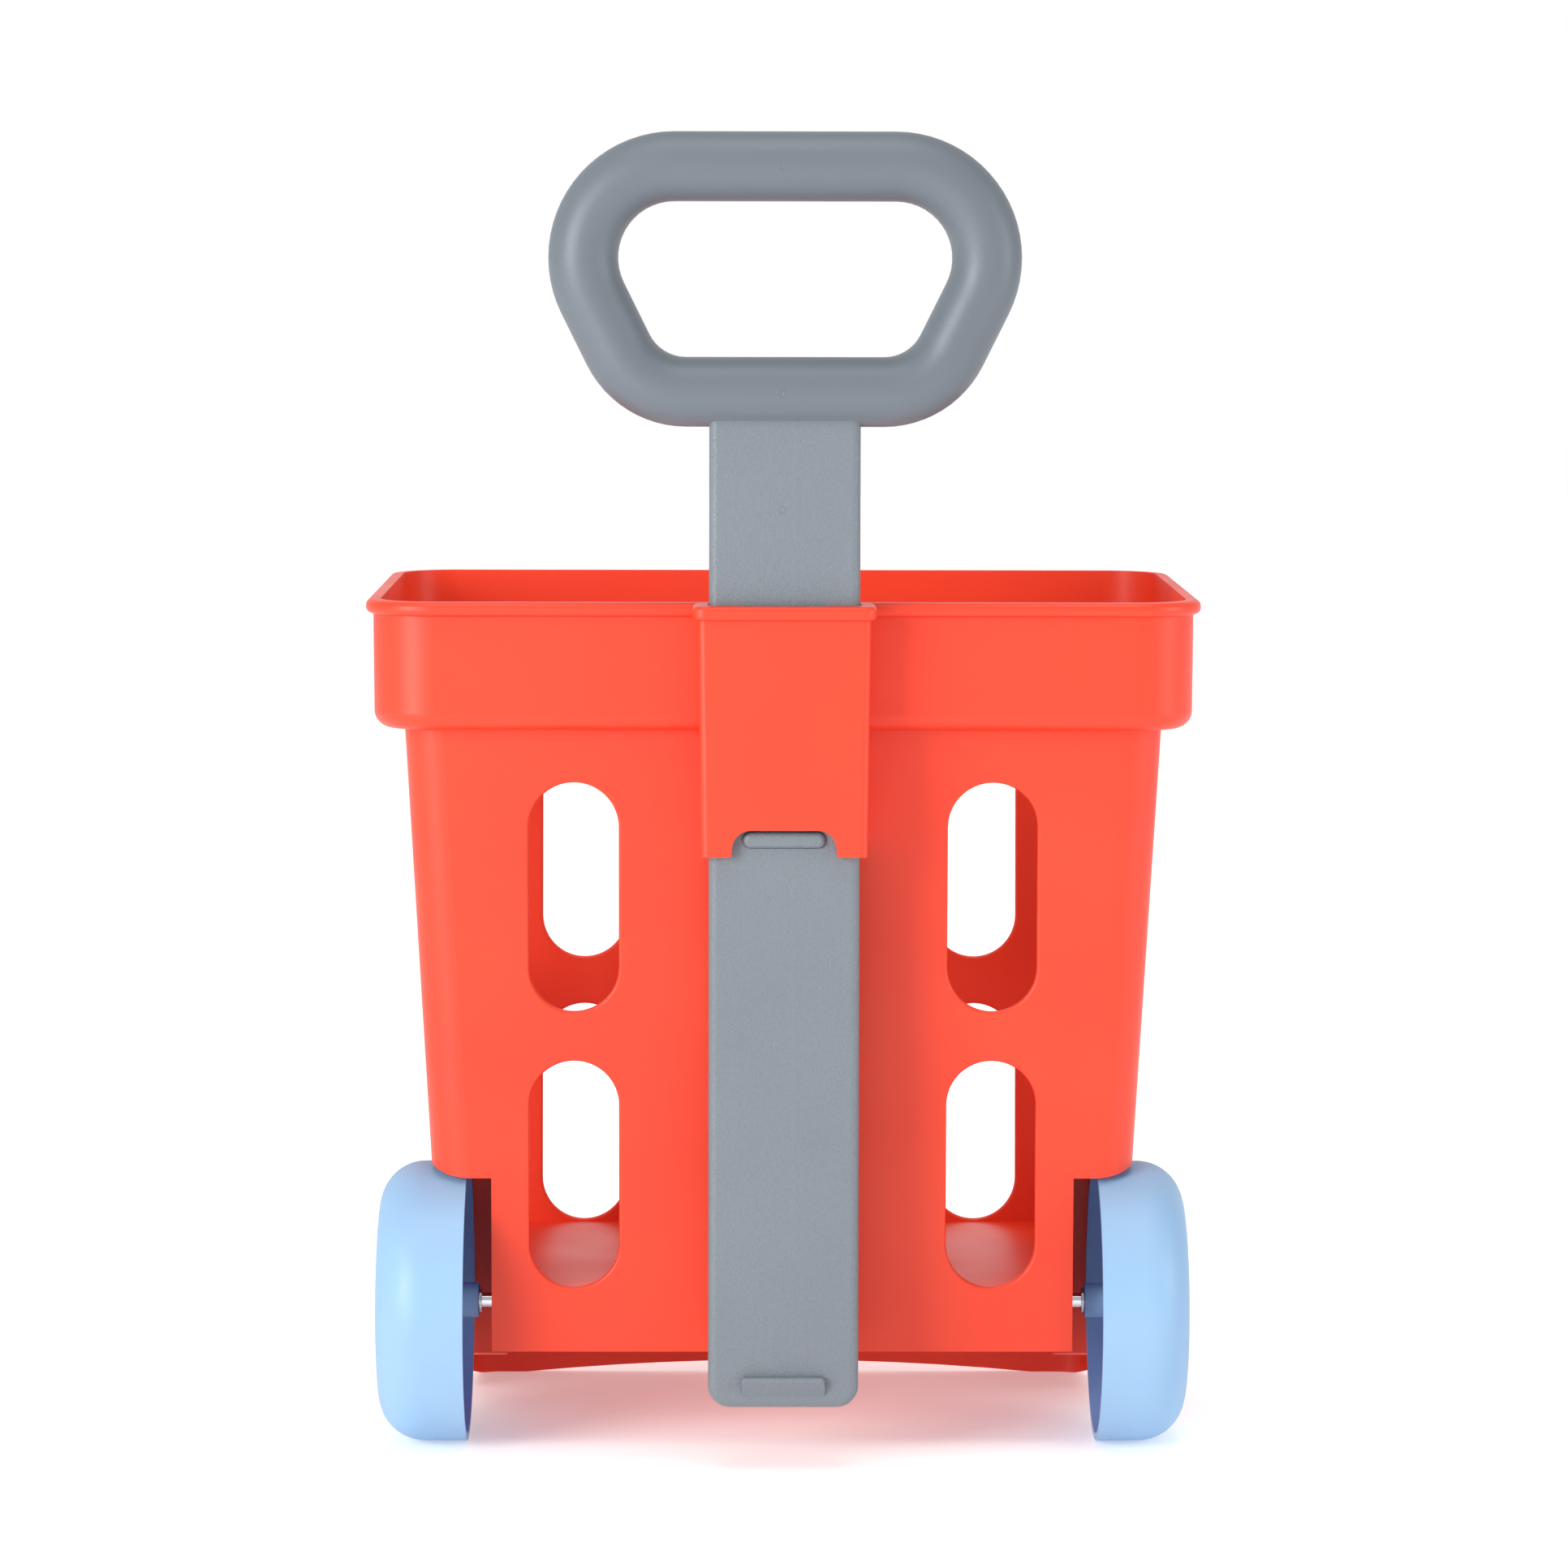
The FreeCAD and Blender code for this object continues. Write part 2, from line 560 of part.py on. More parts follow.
# --------------------------------------------------------------------------------------
# Sleeve
# --------------------------------------------------------------------------------------
def make_sleeve(form):
    """The square tube that guides the post, seated on the back of the basket."""
    body = new_body("sleeve_form")
    reach = "(basket_y - sleeve_back)"
    low = new_sketch(body, "sleeve_low", "XY_Plane", away="sleeve_bottom")
    rounded_rectangle(low, "sleeve_bottom_width", reach, "sleeve_edge_round",
                      y="sleeve_back + %s / 2" % reach)
    high = new_sketch(body, "sleeve_high", "XY_Plane", away="rim_height")
    rounded_rectangle(high, "sleeve_top_width", reach, "sleeve_edge_round",
                      y="sleeve_back + %s / 2" % reach)
    loft(body, "AdditiveLoft", "sleeve_block", low, high)
    bead_reach = "(rim_back + bead_proud - sleeve_back + sleeve_bead_proud)"
    bead = new_sketch(body, "sleeve_bead_line", "XY_Plane", away="rim_height - bead_height")
    rounded_rectangle(bead, "sleeve_top_width + 2 * sleeve_bead_proud", bead_reach,
                      "sleeve_edge_round + sleeve_bead_proud",
                      y="sleeve_back - sleeve_bead_proud + %s / 2" % bead_reach)
    feature(body, "Pad", "sleeve_bead", bead, Length="bead_height")
    back = number("sleeve_back - sleeve_bead_proud")
    fillet(body, "sleeve_bead_edge", "sleeve_bead_proud - post_gap / 2", lambda edge: (
        edge.BoundBox.ZMin > number("rim_height - bead_height") - 0.05
        and near(edge.BoundBox.ZMin, edge.BoundBox.ZMax) and near(edge.BoundBox.YMin, back, 0.3)
        and edge.BoundBox.XLength > number("post_width / 2")))
    channel = new_sketch(body, "channel_line", "XY_Plane", away="sleeve_bottom - past")
    rounded_rectangle(channel, "post_width + 2 * post_gap", "post_thickness + 2 * post_gap",
                      "post_edge_round + post_gap", y="post_y")
    feature(body, "Pocket", "channel", channel, reversed_=True, Length="rim_height")
    relief = new_sketch(body, "relief_line", "XY_Plane", away="sleeve_bottom - past")
    edge = "catch_width / 2 + post_gap"
    outline(relief, [("-(%s)" % edge, "sleeve_back + sleeve_wall - relief_depth"),
                     (edge, "sleeve_back + sleeve_wall - relief_depth"),
                     (edge, "post_y"), ("-(%s)" % edge, "post_y")])
    feature(body, "Pocket", "catch_relief", relief, reversed_=True, Length="rim_height")
    space = new_sketch(body, "web_space_line", "XY_Plane", away="sleeve_bottom - past")
    outline(space, [("-post_width / 2", "rim_back + bead_proud"),
                    ("post_width / 2", "rim_back + bead_proud"),
                    ("post_width / 2", "basket_y + past"), ("-post_width / 2", "basket_y + past")])
    feature(body, "Pocket", "web_space", space, reversed_=True,
            Length="collar_bottom - sleeve_bottom")
    notch = new_sketch(body, "notch_line", "XZ_Plane", away="-sleeve_back + past")
    side = "notch_foot_width / 2 - notch_lean"
    crown = side + " - notch_round"
    outline(notch, [("-notch_foot_width / 2", "sleeve_bottom - past"),
                    ("notch_foot_width / 2", "sleeve_bottom - past"),
                    (side, "notch_top - notch_round"), (crown, "notch_top"),
                    ("-(%s)" % crown, "notch_top"),
                    ("-(%s)" % side, "notch_top - notch_round")],
            {2: ("notch_round", 1), 4: ("notch_round", 1)})
    feature(body, "Pocket", "notch", notch, Length="sleeve_wall + past + post_gap")
    sleeve = cut("handle_sleeve", body, form)
    sleeve.Label = "handle_sleeve"
    return sleeve


# --------------------------------------------------------------------------------------
# Handle: two half shells, screws
# --------------------------------------------------------------------------------------
def grip_path(body):
    """The centre line of the grip: level bars joined by two arcs and a short slope a side."""
    sketch = new_sketch(body, "grip_path", "XZ_Plane", away="-post_y")
    top, low = number("grip_high_z"), number("grip_low_z")
    upper, lower = number("grip_upper_radius"), number("grip_lower_radius")
    upper_x, lower_x = number("grip_upper_centre"), number("grip_lower_centre")
    upper_z, lower_z = top - upper, low + lower
    across, rise = upper_x - lower_x, upper_z - lower_z
    slope = math.atan2(rise, across) - math.acos((lower - upper) / math.hypot(across, rise))
    normal = Vector(0, 0, 1)
    curves = {}
    for side, sign in (("right", 1), ("left", -1)):
        for part, x, z, r in (("upper", upper_x, upper_z, upper), ("lower", lower_x, lower_z,
                                                                   lower)):
            angles = sorted(((math.pi / 2, slope) if part == "upper" else (
                -math.pi / 2, slope)))
            if sign < 0:
                angles = [math.pi - angles[1], math.pi - angles[0]]
            round_ = Part.Circle(Vector(sign * x, z, 0), normal, r)
            curves[side + part] = sketch.addGeometry(Part.ArcOfCircle(round_, *angles))
    shape = sketch.Geometry

    def join(first, first_end, second, second_end):
        a = shape[curves[first]].StartPoint if first_end == START else shape[
            curves[first]].EndPoint
        b = shape[curves[second]].StartPoint if second_end == START else shape[
            curves[second]].EndPoint
        line = sketch.addGeometry(Part.LineSegment(a, b))
        sketch.addConstraint(Sketcher.Constraint("Tangent", curves[first], first_end, line, START))
        sketch.addConstraint(Sketcher.Constraint("Tangent", line, END, curves[second], second_end))
        return line

    top_line = join("rightupper", END, "leftupper", START)
    join("leftupper", END, "leftlower", START)
    low_line = join("leftlower", END, "rightlower", START)
    join("rightlower", END, "rightupper", START)
    hold_line(sketch, top_line, "DistanceY", "grip_high_z")
    hold_line(sketch, low_line, "DistanceY", "grip_low_z")
    for line in (top_line, low_line):
        sketch.addConstraint(Sketcher.Constraint("Horizontal", line))
    for part, centre, radius in (("upper", "grip_upper_centre", "grip_upper_radius"),
                                 ("lower", "grip_lower_centre", "grip_lower_radius")):
        constrain(sketch, "DistanceX", *ORIGIN, curves["right" + part], MIDDLE, formula=centre)
        constrain(sketch, "DistanceX", curves["left" + part], MIDDLE, *ORIGIN, formula=centre)
        for side in ("right", "left"):
            constrain(sketch, "Radius", curves[side + part], formula=radius)
    return sketch


def handle_solid(name, tube, width, thickness, bottom, corner, edge_round):
    """The grip and the post as one solid: outside form or hollow, by its sizes."""
    body = new_body(name)
    path = grip_path(body)
    ring = circle(new_sketch(body, name + "_ring", "YZ_Plane"), "(%s) / 2" % tube, x="post_y",
                  y="grip_high_z")
    pipe = body.newObject("PartDesign::AdditivePipe", name + "_grip")
    pipe.Profile = ring
    pipe.Spine = (path, [])
    doc.recompute()
    post = new_sketch(body, name + "_post_line", "XZ_Plane",
                      away="-post_y - (%s) / 2" % thickness)
    height = "(grip_low_z + post_into_grip - (%s))" % bottom
    rounded_rectangle(post, width, height, corner, y="(%s) + %s / 2" % (bottom, height))
    feature(body, "Pad", name + "_post", post, Length=thickness)
    if edge_round:
        side = number("(%s) / 2 - (%s)" % (width, corner))
        fillet(body, name + "_edges", edge_round, lambda edge: (
            edge.BoundBox.ZMax < number("grip_low_z") and edge.BoundBox.YLength < 0.1
            and edge.BoundBox.ZMin < number("grip_bottom - grip_diameter / 2")
            and max(abs(edge.BoundBox.XMin), abs(edge.BoundBox.XMax)) > side - 0.1))
    return body


SCREW_SPOTS = [("post_low", "0", "screw_low"), ("post_middle", "0", "screw_middle"),
               ("post_upper", "0", "screw_high"),
               ("grip_left", "-grip_lower_centre - screw_outset", "grip_low_z"),
               ("grip_right", "grip_lower_centre + screw_outset", "grip_low_z"),
               ("grip_top", "0", "grip_high_z")]


def screw_cylinder(name, radius, length, start, x, z):
    """A cylinder along +Y at a screw's place, starting at y = start."""
    return cylinder(name, radius, length, x=x, y=start, z=z, axis=(0, 1, 0))


def make_handle():
    """The two half shells of the handle and the screws that hold them together.

    The rest stop is a rib across the front shell that lands on the sleeve's rim.
    """
    outside = handle_solid("handle_outside", "grip_diameter", "post_width", "post_thickness",
                           "post_bottom", "post_corner", "post_edge_round")
    hollow = handle_solid("handle_hollow", "grip_hollow", "post_width - 2 * shell_wall",
                          "post_thickness - 2 * shell_wall", "post_bottom + shell_wall",
                          "post_corner - shell_wall", None)
    shells = {}
    for half, start in (("back", "post_y - grip_diameter"), ("front", "post_y")):
        side = box(half + "_side", "-rim_width / 2", start, "0", "rim_width", "grip_diameter",
                   "grip_top + past")
        shells[half] = [common(half + "_half", cut(half + "_wall", outside, hollow), side)]
    holes = {"back": [], "front": []}
    screws = []
    for spot, x, z in SCREW_SPOTS:
        thick = "post_thickness / 2" if spot.startswith("post") else "grip_diameter / 2"
        seat = "(post_y + post_thickness / 2 - screw_sink)"
        depth = thick + " - shell_wall / 2"
        shells["front"].append(screw_cylinder(
            spot + "_front_boss", "screw_boss_diameter / 2", depth, "post_y", x, z))
        shells["back"].append(screw_cylinder(
            spot + "_back_boss", "screw_boss_diameter / 2", depth, "post_y - (%s)" % depth,
            x, z))
        holes["front"] += [
            screw_cylinder(spot + "_clearance", "screw_diameter / 2 + screw_clearance", thick,
                           "post_y", x, z),
            screw_cylinder(spot + "_head_seat", "screw_head_diameter / 2 + screw_clearance",
                           "grip_diameter", seat + " - screw_head_height", x, z)]
        pilot = seat + " - screw_head_height - screw_length"
        holes["back"].append(screw_cylinder(
            spot + "_pilot", "screw_diameter / 2", "post_y - (%s)" % pilot, pilot, x, z))
        screws.append(fuse(
            spot + "_screw",
            screw_cylinder(spot + "_shank", "screw_diameter / 2", "screw_length",
                           seat + " - screw_head_height - screw_length", x, z),
            screw_cylinder(spot + "_head", "screw_head_diameter / 2", "screw_head_height",
                           seat + " - screw_head_height", x, z)))
    window = new_body("catch_window")
    hole = new_sketch(window, "catch_window_line", "XZ_Plane", away="-post_back + past")
    rounded_rectangle(hole, "catch_width + 2 * catch_gap", "catch_height + 2 * catch_gap",
                      "catch_round + catch_gap", y="catch_z")
    feature(window, "Pad", "catch_window_cut", hole, reversed_=True,
            Length="shell_wall + past + flange_gap")
    holes["back"].append(window)
    shells["back"].append(make_ramp())
    shells["front"].append(box(
        "rest_stop", "-post_width / 2 + post_edge_round",
        "post_y + post_thickness / 2 - shell_wall / 2", "rim_height + rest_gap",
        "post_width - 2 * post_edge_round", "stop_proud + shell_wall / 2", "stop_height"))
    nodes = []
    for half in ("back", "front"):
        shell = cut("handle_%s_shell" % half, fuse(half + "_filled", *shells[half]),
                    *holes[half])
        shell.Label = shell.Name
        nodes.append(shell)
    group = doc.addObject("Part::Compound", "handle_screws")
    group.Links = screws
    group.Label = "handle_screws"
    return nodes + [group]


def make_ramp():
    """The wedge at the foot of the post that stops the handle at the top of its travel."""
    body = new_body("lift_stop_ramp")
    sketch = new_sketch(body, "ramp_line", "YZ_Plane", away="-catch_width / 2")
    root = "post_back + shell_wall / 2"
    outline(sketch, [("post_back - ramp_proud", "ramp_top"), (root, "ramp_top"),
                     (root, "ramp_top - ramp_height"),
                     ("post_back", "ramp_top - ramp_height"),
                     ("post_back - ramp_proud", "ramp_top - ramp_ledge")])
    feature(body, "Pad", "ramp", sketch, Length="catch_width")
    face = number("post_back - ramp_proud")
    ledge = number("ramp_top - ramp_ledge")
    fillet(body, "ramp_edges", "ramp_round", lambda edge: (
        near(edge.BoundBox.YMin, face) and edge.BoundBox.ZMax > ledge + 0.1))
    return body


# --------------------------------------------------------------------------------------
# Catch: a spring-loaded bar in a window of the back shell
# --------------------------------------------------------------------------------------
def make_catch():
    """The bar that is pressed to free the handle, and the two springs behind it."""
    body = new_body("catch_button")
    body.Label = "catch_button"
    bar = new_sketch(body, "bar_line", "XZ_Plane", away="-post_back + catch_proud")
    rounded_rectangle(bar, "catch_width", "catch_height", "catch_round", y="catch_z")
    feature(body, "Pad", "bar", bar, reversed_=True,
            Length="catch_proud + shell_wall + flange_gap")
    face = number("post_back - catch_proud")
    fillet(body, "bar_edge", "catch_edge_round", lambda edge: (
        near(edge.BoundBox.YMin, face) and near(edge.BoundBox.YMax, face)))
    flange = new_sketch(body, "flange_line", "XZ_Plane",
                        away="-post_back - shell_wall - flange_gap")
    rounded_rectangle(flange, "catch_width + 2 * flange_margin",
                      "catch_height + 2 * flange_margin", "flange_round", y="catch_z")
    feature(body, "Pad", "flange", flange, reversed_=True, Length="flange_thickness")
    return [body, make_spring("left_catch_spring", "(-catch_width / 4)"),
            make_spring("right_catch_spring", "(catch_width / 4)")]


def make_spring(name, x):
    """A folded strip of spring steel between the catch's flange and the front shell."""
    body = new_body(name)
    sketch = new_sketch(body, name + "_line", "XY_Plane", away="catch_z - spring_height / 2")
    start = "(post_back + shell_wall + flange_gap + flange_thickness)"
    end = "(post_y + shell_inside)"
    left, right = x + " - spring_length / 2", x + " + spring_length / 2"
    near_leaf, far_leaf = start + " + spring_strip", end + " - spring_strip"
    outline(sketch, [
        (left, start), (right, start), (right, near_leaf), (left + " + spring_fold", far_leaf),
        (right, far_leaf), (right, end), (left, end), (left, far_leaf),
        (right + " - spring_fold", near_leaf), (left, near_leaf)])
    feature(body, "Pad", name + "_strip", sketch, Length="spring_height")
    return body


# --------------------------------------------------------------------------------------
# Axle, wheels and what holds them
# --------------------------------------------------------------------------------------
def make_axle():
    """The steel rod, the clips on each side of bosses and hubs, and the nuts outside."""
    rod = cylinder("axle_rod", "axle_diameter / 2", "2 * axle_half", x="-axle_half",
                   y="axle_y", z="axle_z", axis=(1, 0, 0))
    nodes = [rod]
    for side, sign in (("left", -1), ("right", 1)):
        for kind, place, thick, across in (
                ("axle_clip", "boss_inner - clip_thickness", "clip_thickness",
                 "clip_diameter"),
                ("hub_clip", "wheel_face - hub_proud - running_gap - clip_thickness",
                 "clip_thickness", "clip_diameter"),
                ("axle_washer", "recess_face + running_gap", "washer_thickness",
                 "washer_diameter"),
                ("axle_nut", "recess_face + running_gap + washer_thickness", "nut_thickness",
                 "nut_diameter")):
            where = place if sign > 0 else "-(%s) - (%s)" % (place, thick)
            name = "%s_%s" % (side, kind)
            disc = cylinder(name + "_disc", "(%s) / 2" % across, thick, x=where, y="axle_y",
                            z="axle_z", axis=(1, 0, 0))
            hole = cylinder(name + "_hole", "axle_diameter / 2", "(%s) + 2 * past" % thick,
                            x="(%s) - past" % where, y="axle_y", z="axle_z", axis=(1, 0, 0))
            nodes.append(cut(name, disc, hole))
    return nodes


def turned(name, side, place, points, bulges=None, rounds=()):
    """A piece turned about the axle from its half section.

    Points are (distance outwards from place, radius); place is the distance from the
    middle plane of the trolley, and side is 1 for the right and -1 for the left.
    """
    body = new_body(name)
    body.Label = name
    sketch = outline(new_sketch(body, name + "_section", "XY_Plane"), points, bulges)
    item = body.newObject("PartDesign::Revolution", name + "_turned")
    item.Profile = sketch
    item.ReferenceAxis = (sketch, ["H_Axis"])
    item.Angle = 360
    doc.recompute()
    for index, (radius, x, r) in enumerate(rounds):
        fillet(body, "%s_round_%d" % (name, index), radius, lambda edge: (
            near(edge.BoundBox.XMin, number(x), 0.02) and near(edge.BoundBox.XMax, number(x), 0.02)
            and near(edge.BoundBox.YMax, number(r), 0.2)))
    body.Placement = FreeCAD.Placement(
        Vector(), FreeCAD.Rotation(Vector(0, 0, 1), 0 if side > 0 else 180))
    bind(body, Base_x="%d * (%s)" % (side, place), Base_y="axle_y", Base_z="axle_z")
    return body


def make_wheel(side_name, side):
    """A wheel, hollow towards the basket, with a domed face, and its snap-in hub cap."""
    outer = "wheel_diameter / 2"
    shoulder = "wheel_diameter / 2 - wheel_width * tan(tread_draft * 1deg)"
    face = "wheel_width - dome_rise"
    bore = "axle_diameter / 2 + bore_clearance"
    wall = "wheel_wall"
    points = [
        ("0", outer), (face, shoulder), ("wheel_width", "cap_diameter / 2 + cap_gap"),
        ("wheel_width - cap_recess", "cap_diameter / 2 + cap_gap"),
        ("wheel_width - cap_recess", bore), ("-hub_proud", bore),
        ("-hub_proud", "hub_diameter / 2"),
        ("wheel_width - cap_recess - %s" % wall, "hub_diameter / 2"),
        ("wheel_width - cap_recess - %s" % wall, "cap_diameter / 2 + %s" % wall),
        ("%s - %s" % (face, wall), "%s - %s" % (shoulder, wall)),
        ("0", "%s - %s" % (outer, wall))]
    wheel = turned(side_name + "_wheel", side, "wheel_face", points, {1: ("dome_radius", -1)}, (
        ("wheel_shoulder", face, shoulder),
        ("wheel_shoulder - wheel_wall", "%s - %s" % (face, wall),
         "%s - %s" % (shoulder, wall))))
    cap_radius = "cap_diameter / 2"
    cap = turned(side_name + "_hub_cap", side, "wheel_face", [
        ("wheel_width - cap_thickness", "0"), ("wheel_width", "0"), ("wheel_width", cap_radius),
        ("wheel_width - cap_recess", cap_radius),
        ("wheel_width - cap_recess", cap_radius + " - cap_thickness"),
        ("wheel_width - cap_thickness", cap_radius + " - cap_thickness")],
        rounds=(("cap_thickness / 2", "wheel_width", cap_radius),))
    return [wheel, cap]


# --------------------------------------------------------------------------------------
# Build, check and write
# --------------------------------------------------------------------------------------
def write_parts(nodes):
    """Check every object of the document, then write each node's shape."""
    doc.recompute()
    for item in doc.Objects:
        if {"Invalid", "Error"} & set(item.State):
            raise RuntimeError(item.Name + " did not build")
    for node in nodes:
        if node.Shape.isNull() or not node.Shape.isValid() or not node.Shape.Solids:
            raise RuntimeError(node.Label + " has no sound solid")
    for node in nodes:
        node.Shape.exportStep("parts/%s.step" % node.Label)
        print("%-22s %9.1f mm3  %d solid(s)" % (
            node.Label, node.Shape.Volume, len(node.Shape.Solids)))


form = basket_form()
sub_parts = [make_basket(form), make_sleeve(form)]
sub_parts += make_handle()
sub_parts += make_catch()
sub_parts += make_axle()
sub_parts += make_wheel("left", -1) + make_wheel("right", 1)
write_parts(sub_parts)
print("The handle slides up %.1f mm" % number("handle_travel"))
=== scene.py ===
"""Toy shopping trolley: finishes, moulding details, floor, light and camera."""
import math

import bpy
import numpy as np
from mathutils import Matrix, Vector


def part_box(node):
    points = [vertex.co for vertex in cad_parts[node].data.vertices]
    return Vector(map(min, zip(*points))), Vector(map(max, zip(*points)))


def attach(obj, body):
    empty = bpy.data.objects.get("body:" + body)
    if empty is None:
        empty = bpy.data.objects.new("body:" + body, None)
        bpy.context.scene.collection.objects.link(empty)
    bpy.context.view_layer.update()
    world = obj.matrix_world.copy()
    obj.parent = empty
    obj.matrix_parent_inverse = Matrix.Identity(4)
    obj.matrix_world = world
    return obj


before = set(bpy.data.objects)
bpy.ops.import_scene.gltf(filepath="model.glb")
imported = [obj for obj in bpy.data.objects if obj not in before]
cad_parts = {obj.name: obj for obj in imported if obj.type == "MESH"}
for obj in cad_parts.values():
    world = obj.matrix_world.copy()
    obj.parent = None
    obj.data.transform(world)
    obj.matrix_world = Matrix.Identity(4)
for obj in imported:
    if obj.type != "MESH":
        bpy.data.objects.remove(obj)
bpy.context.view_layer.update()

# ---------------------------------------------------------------------------
# Basket and sleeve. One injection moulding of coral polypropylene: wide
# collar, slotted walls, wheel wells, a skirt with two feet and the post's guide.
# ---------------------------------------------------------------------------
CORAL = "#E83F1C"
CORAL_DEEP = "#E0351A"
CORAL_ROUGHNESS = 0.42
SATIN_GRAIN_MM = 0.9       # the tool's satin is finer; drawn this coarse so that it shows
SATIN_DEPTH = 0.00001
MELT_WAVE_MM = 55          # slow waviness where the wall cooled unevenly
MELT_WAVE_DEPTH = 0.0003
PLASTIC_IOR = 1.49         # polypropylene


def linear(hex_colour):
    """An sRGB hex colour as linear RGBA: each channel through the sRGB curve."""
    srgb = np.array([int(hex_colour[i:i + 2], 16) for i in (1, 3, 5)]) / 255
    light = np.where(srgb <= 0.04045, srgb / 12.92, ((srgb + 0.055) / 1.055) ** 2.4)
    return (*light.tolist(), 1.0)


def add(material, kind, values=None, **links):
    """Adds one shader node; values sets attributes and sockets, links joins sockets."""
    node = material.node_tree.nodes.new("ShaderNode" + kind)
    for name, value in (values or {}).items():
        if isinstance(name, str) and hasattr(node, name):
            setattr(node, name, value)
        else:
            node.inputs[name].default_value = value
    for name, (source, output) in links.items():
        socket = int(name[1:]) if name[0] == "i" and name[1:].isdigit() else name.replace("_", " ")
        material.node_tree.links.new(source.outputs[output], node.inputs[socket])
    return node


def new_material(name):
    """An empty node material with its output node, and the object's own coordinates."""
    material = bpy.data.materials.new(name)
    material.use_nodes = True
    material.node_tree.nodes.clear()
    return material, add(material, "OutputMaterial"), add(material, "TexCoord")


def per_metre(size_mm):
    """The pattern scale that makes one cell of a noise size_mm across."""
    return 1000 / size_mm


def moulded_plastic(name, colour, deep, roughness, grain_mm, grain_depth, wave_mm, wave_depth):
    """Moulded polypropylene, as the material and its shader node.

    Two close tones drift slowly, the gloss drifts with them, and the normal carries the
    fine grain of the tool on top of the slow wave of the cooling wall.
    """
    material, output, place = new_material(name)
    slow = add(material, "TexNoise", {"Scale": per_metre(wave_mm), "Detail": 2.0},
               Vector=(place, "Object"))
    tone = add(material, "Mix", {"data_type": "RGBA", 6: linear(colour), 7: linear(deep)},
               Factor=(slow, "Fac"))
    fine = add(material, "TexNoise", {"Scale": per_metre(grain_mm), "Detail": 3.0,
                                      "Roughness": 0.6}, Vector=(place, "Object"))
    gloss = add(material, "MapRange", {"From Min": 0.3, "From Max": 0.7,
                                       "To Min": roughness - 0.04, "To Max": roughness + 0.05},
                Value=(slow, "Fac"))
    wave = add(material, "Bump", {"Strength": 1.0, "Distance": wave_depth}, Height=(slow, "Fac"))
    grain = add(material, "Bump", {"Strength": 1.0, "Distance": grain_depth},
                Height=(fine, "Fac"), Normal=(wave, "Normal"))
    shader = add(material, "BsdfPrincipled", {"IOR": PLASTIC_IOR}, Base_Color=(tone, 2),
                 Roughness=(gloss, "Result"), Normal=(grain, "Normal"))
    material.node_tree.links.new(shader.outputs["BSDF"], output.inputs["Surface"])
    return material, shader


def finish_nodes(material, *nodes):
    """Gives carried-over CAD nodes their material."""
    for node in nodes:
        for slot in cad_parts[node].material_slots:
            slot.material = material


# Polypropylene moulded in a satin tool: an even, slightly waxy colour with a broad, soft
# highlight that bends a little along the walls.
coral, _ = moulded_plastic(
    "coral_polypropylene_satin", CORAL, CORAL_DEEP, CORAL_ROUGHNESS, SATIN_GRAIN_MM,
    SATIN_DEPTH, MELT_WAVE_MM, MELT_WAVE_DEPTH)
finish_nodes(coral, "basket", "handle_sleeve")

# ---------------------------------------------------------------------------
# Handle and catch. Two half shells of blue-grey polypropylene, screwed together
# from the basket's side, with a catch bar of the same plastic in a window. The
# post has a spark-eroded grain; the grip is smoother.
# ---------------------------------------------------------------------------
GREY = "#737B82"
GREY_DEEP = "#6D757D"
GRIP_PAINTED_SHADE_GREY = "#626A72"      # the same plastic, painted a deeper grey on the smooth grip as painted shade
GREY_ROUGHNESS = 0.44
GREY_WAVE_MM = 40
GREY_WAVE_DEPTH = 0.0002
POST_GRAIN_MM = 0.8        # the spark-eroded pits are finer; drawn this coarse so that they show
POST_GRAIN_DEPTH = 0.00002
PIT_DEPTH = 0.00009
GRAIN_TOP = 0.364          # the grain ends here, just above the foot of the grip
GRAIN_FADE = 0.002
WELD_X = 0.004             # where two streams of plastic met, a faint upright line
WELD_WIDTH = 0.0016
WELD_RISE = 0.00006
JOINT_WIDTH = 0.00035      # the joint of the two shells, drawn a little wide so that it shows
JOINT_DEPTH = 0.0003
SHELL_LOW, SHELL_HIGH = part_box("handle_back_shell")


def ramp(material, source, output, low, high, at_low, at_high):
    """A straight ramp from at_low to at_high while the source goes from low to high."""
    return add(material, "MapRange", {"From Min": low, "From Max": high, "To Min": at_low,
                                      "To Max": at_high}, Value=(source, output))


def line_height(material, split, axis, at, width):
    """The height of a fine line on the plane axis = at: 1 on it, falling to 0 at width."""
    away = add(material, "Math", {"operation": "SUBTRACT", 1: at}, i0=(split, axis))
    far = add(material, "Math", {"operation": "ABSOLUTE"}, i0=(away, "Value"))
    return ramp(material, far, "Value", 0.0, width, 1.0, 0.0)


